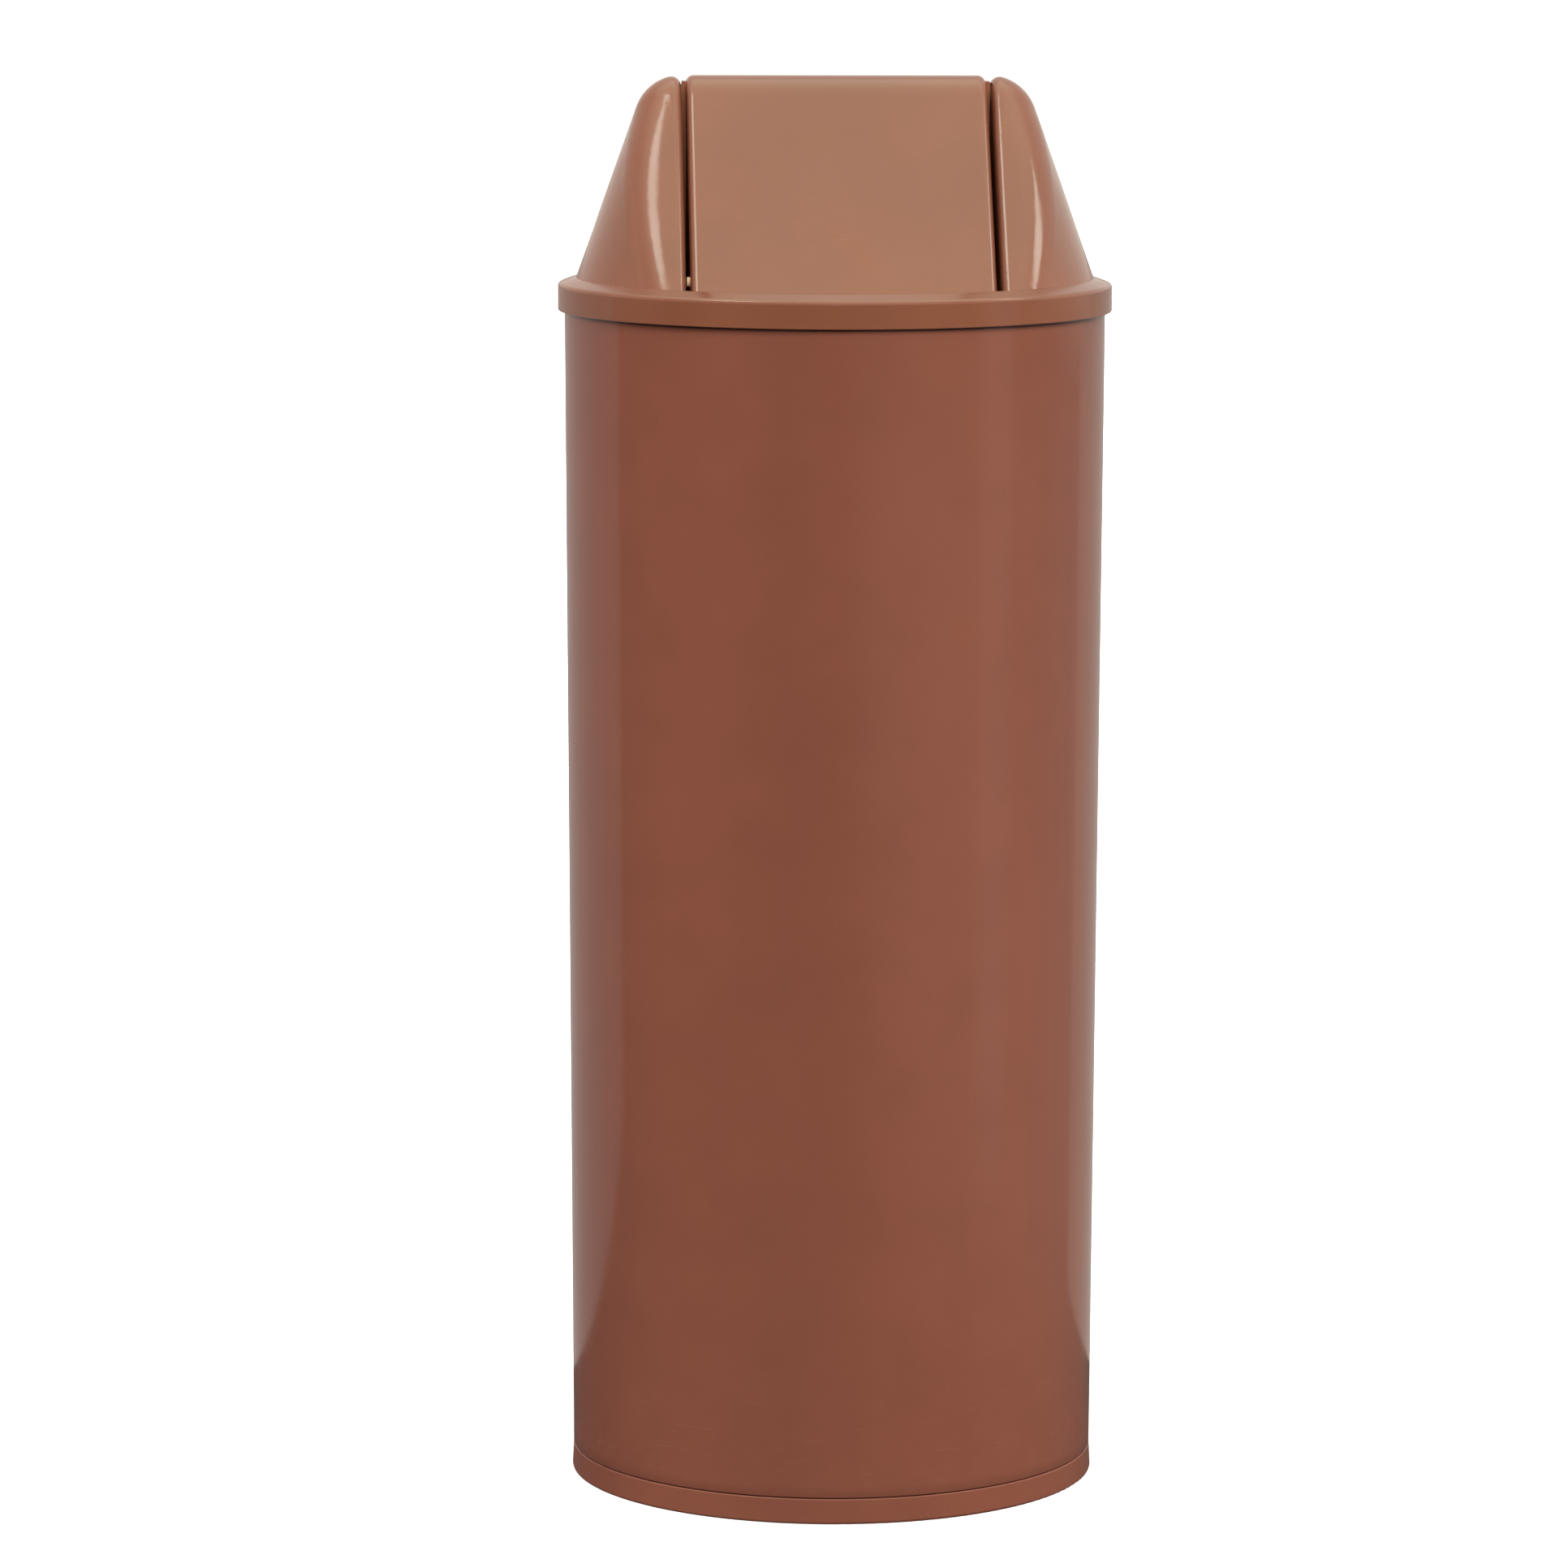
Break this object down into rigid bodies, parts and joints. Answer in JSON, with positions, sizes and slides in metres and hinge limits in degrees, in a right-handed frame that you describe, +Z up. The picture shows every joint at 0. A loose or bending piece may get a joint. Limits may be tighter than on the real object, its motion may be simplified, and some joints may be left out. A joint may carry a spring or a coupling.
{
  "type": "swing-top trash can",
  "caption": "Tall round floor bin with a clip-on foot ring and a lift-off lid, whose roof-shaped flap swings both ways on pivot pins between hollow cheeks and falls shut by its own weight.",
  "frame": {"origin": "centre of the foot ring's underside, on the floor", "axes": "+Z up along the bin's axis, -Y towards the front, +X towards the right seen from the front, along the flap's pivot"},
  "size_m": [0.34, 0.34, 0.8675],
  "materials": {
    "body_plastic": "satin moulded brown plastic",
    "ring_plastic": "satin moulded brown plastic",
    "lid_plastic": "satin moulded brown plastic",
    "flap_plastic": "satin moulded brown plastic",
    "bush_plastic": "smooth brown bearing plastic",
    "peg_plastic": "smooth brown plastic",
    "pin_steel": "zinc-plated steel",
    "clip_steel": "spring steel"
  },
  "bodies": {
    "bin": {"bin_body": "body_plastic", "base_ring": "ring_plastic"},
    "lid": {"lid_hood": "lid_plastic", "pivot_bush_left": "bush_plastic", "pivot_bush_right": "bush_plastic"},
    "flap": {"swing_flap": "flap_plastic", "pivot_pin_left": "pin_steel", "pivot_pin_right": "pin_steel", "pivot_washer_left": "pin_steel", "pivot_washer_right": "pin_steel", "pin_clip_left": "clip_steel", "pin_clip_right": "clip_steel", "stop_peg_front": "peg_plastic", "stop_peg_rear": "peg_plastic"}
  },
  "joints": [
    {"name": "lid_lift", "type": "slide", "parent": "bin", "child": "lid", "axis": [0, 0, 1], "range_m": [0, 0.2]},
    {"name": "flap_swing", "type": "hinge", "parent": "lid", "child": "flap", "pos_m": [0, 0, 0.856], "axis": [1, 0, 0], "range_deg": [-75, 75]}
  ]
}
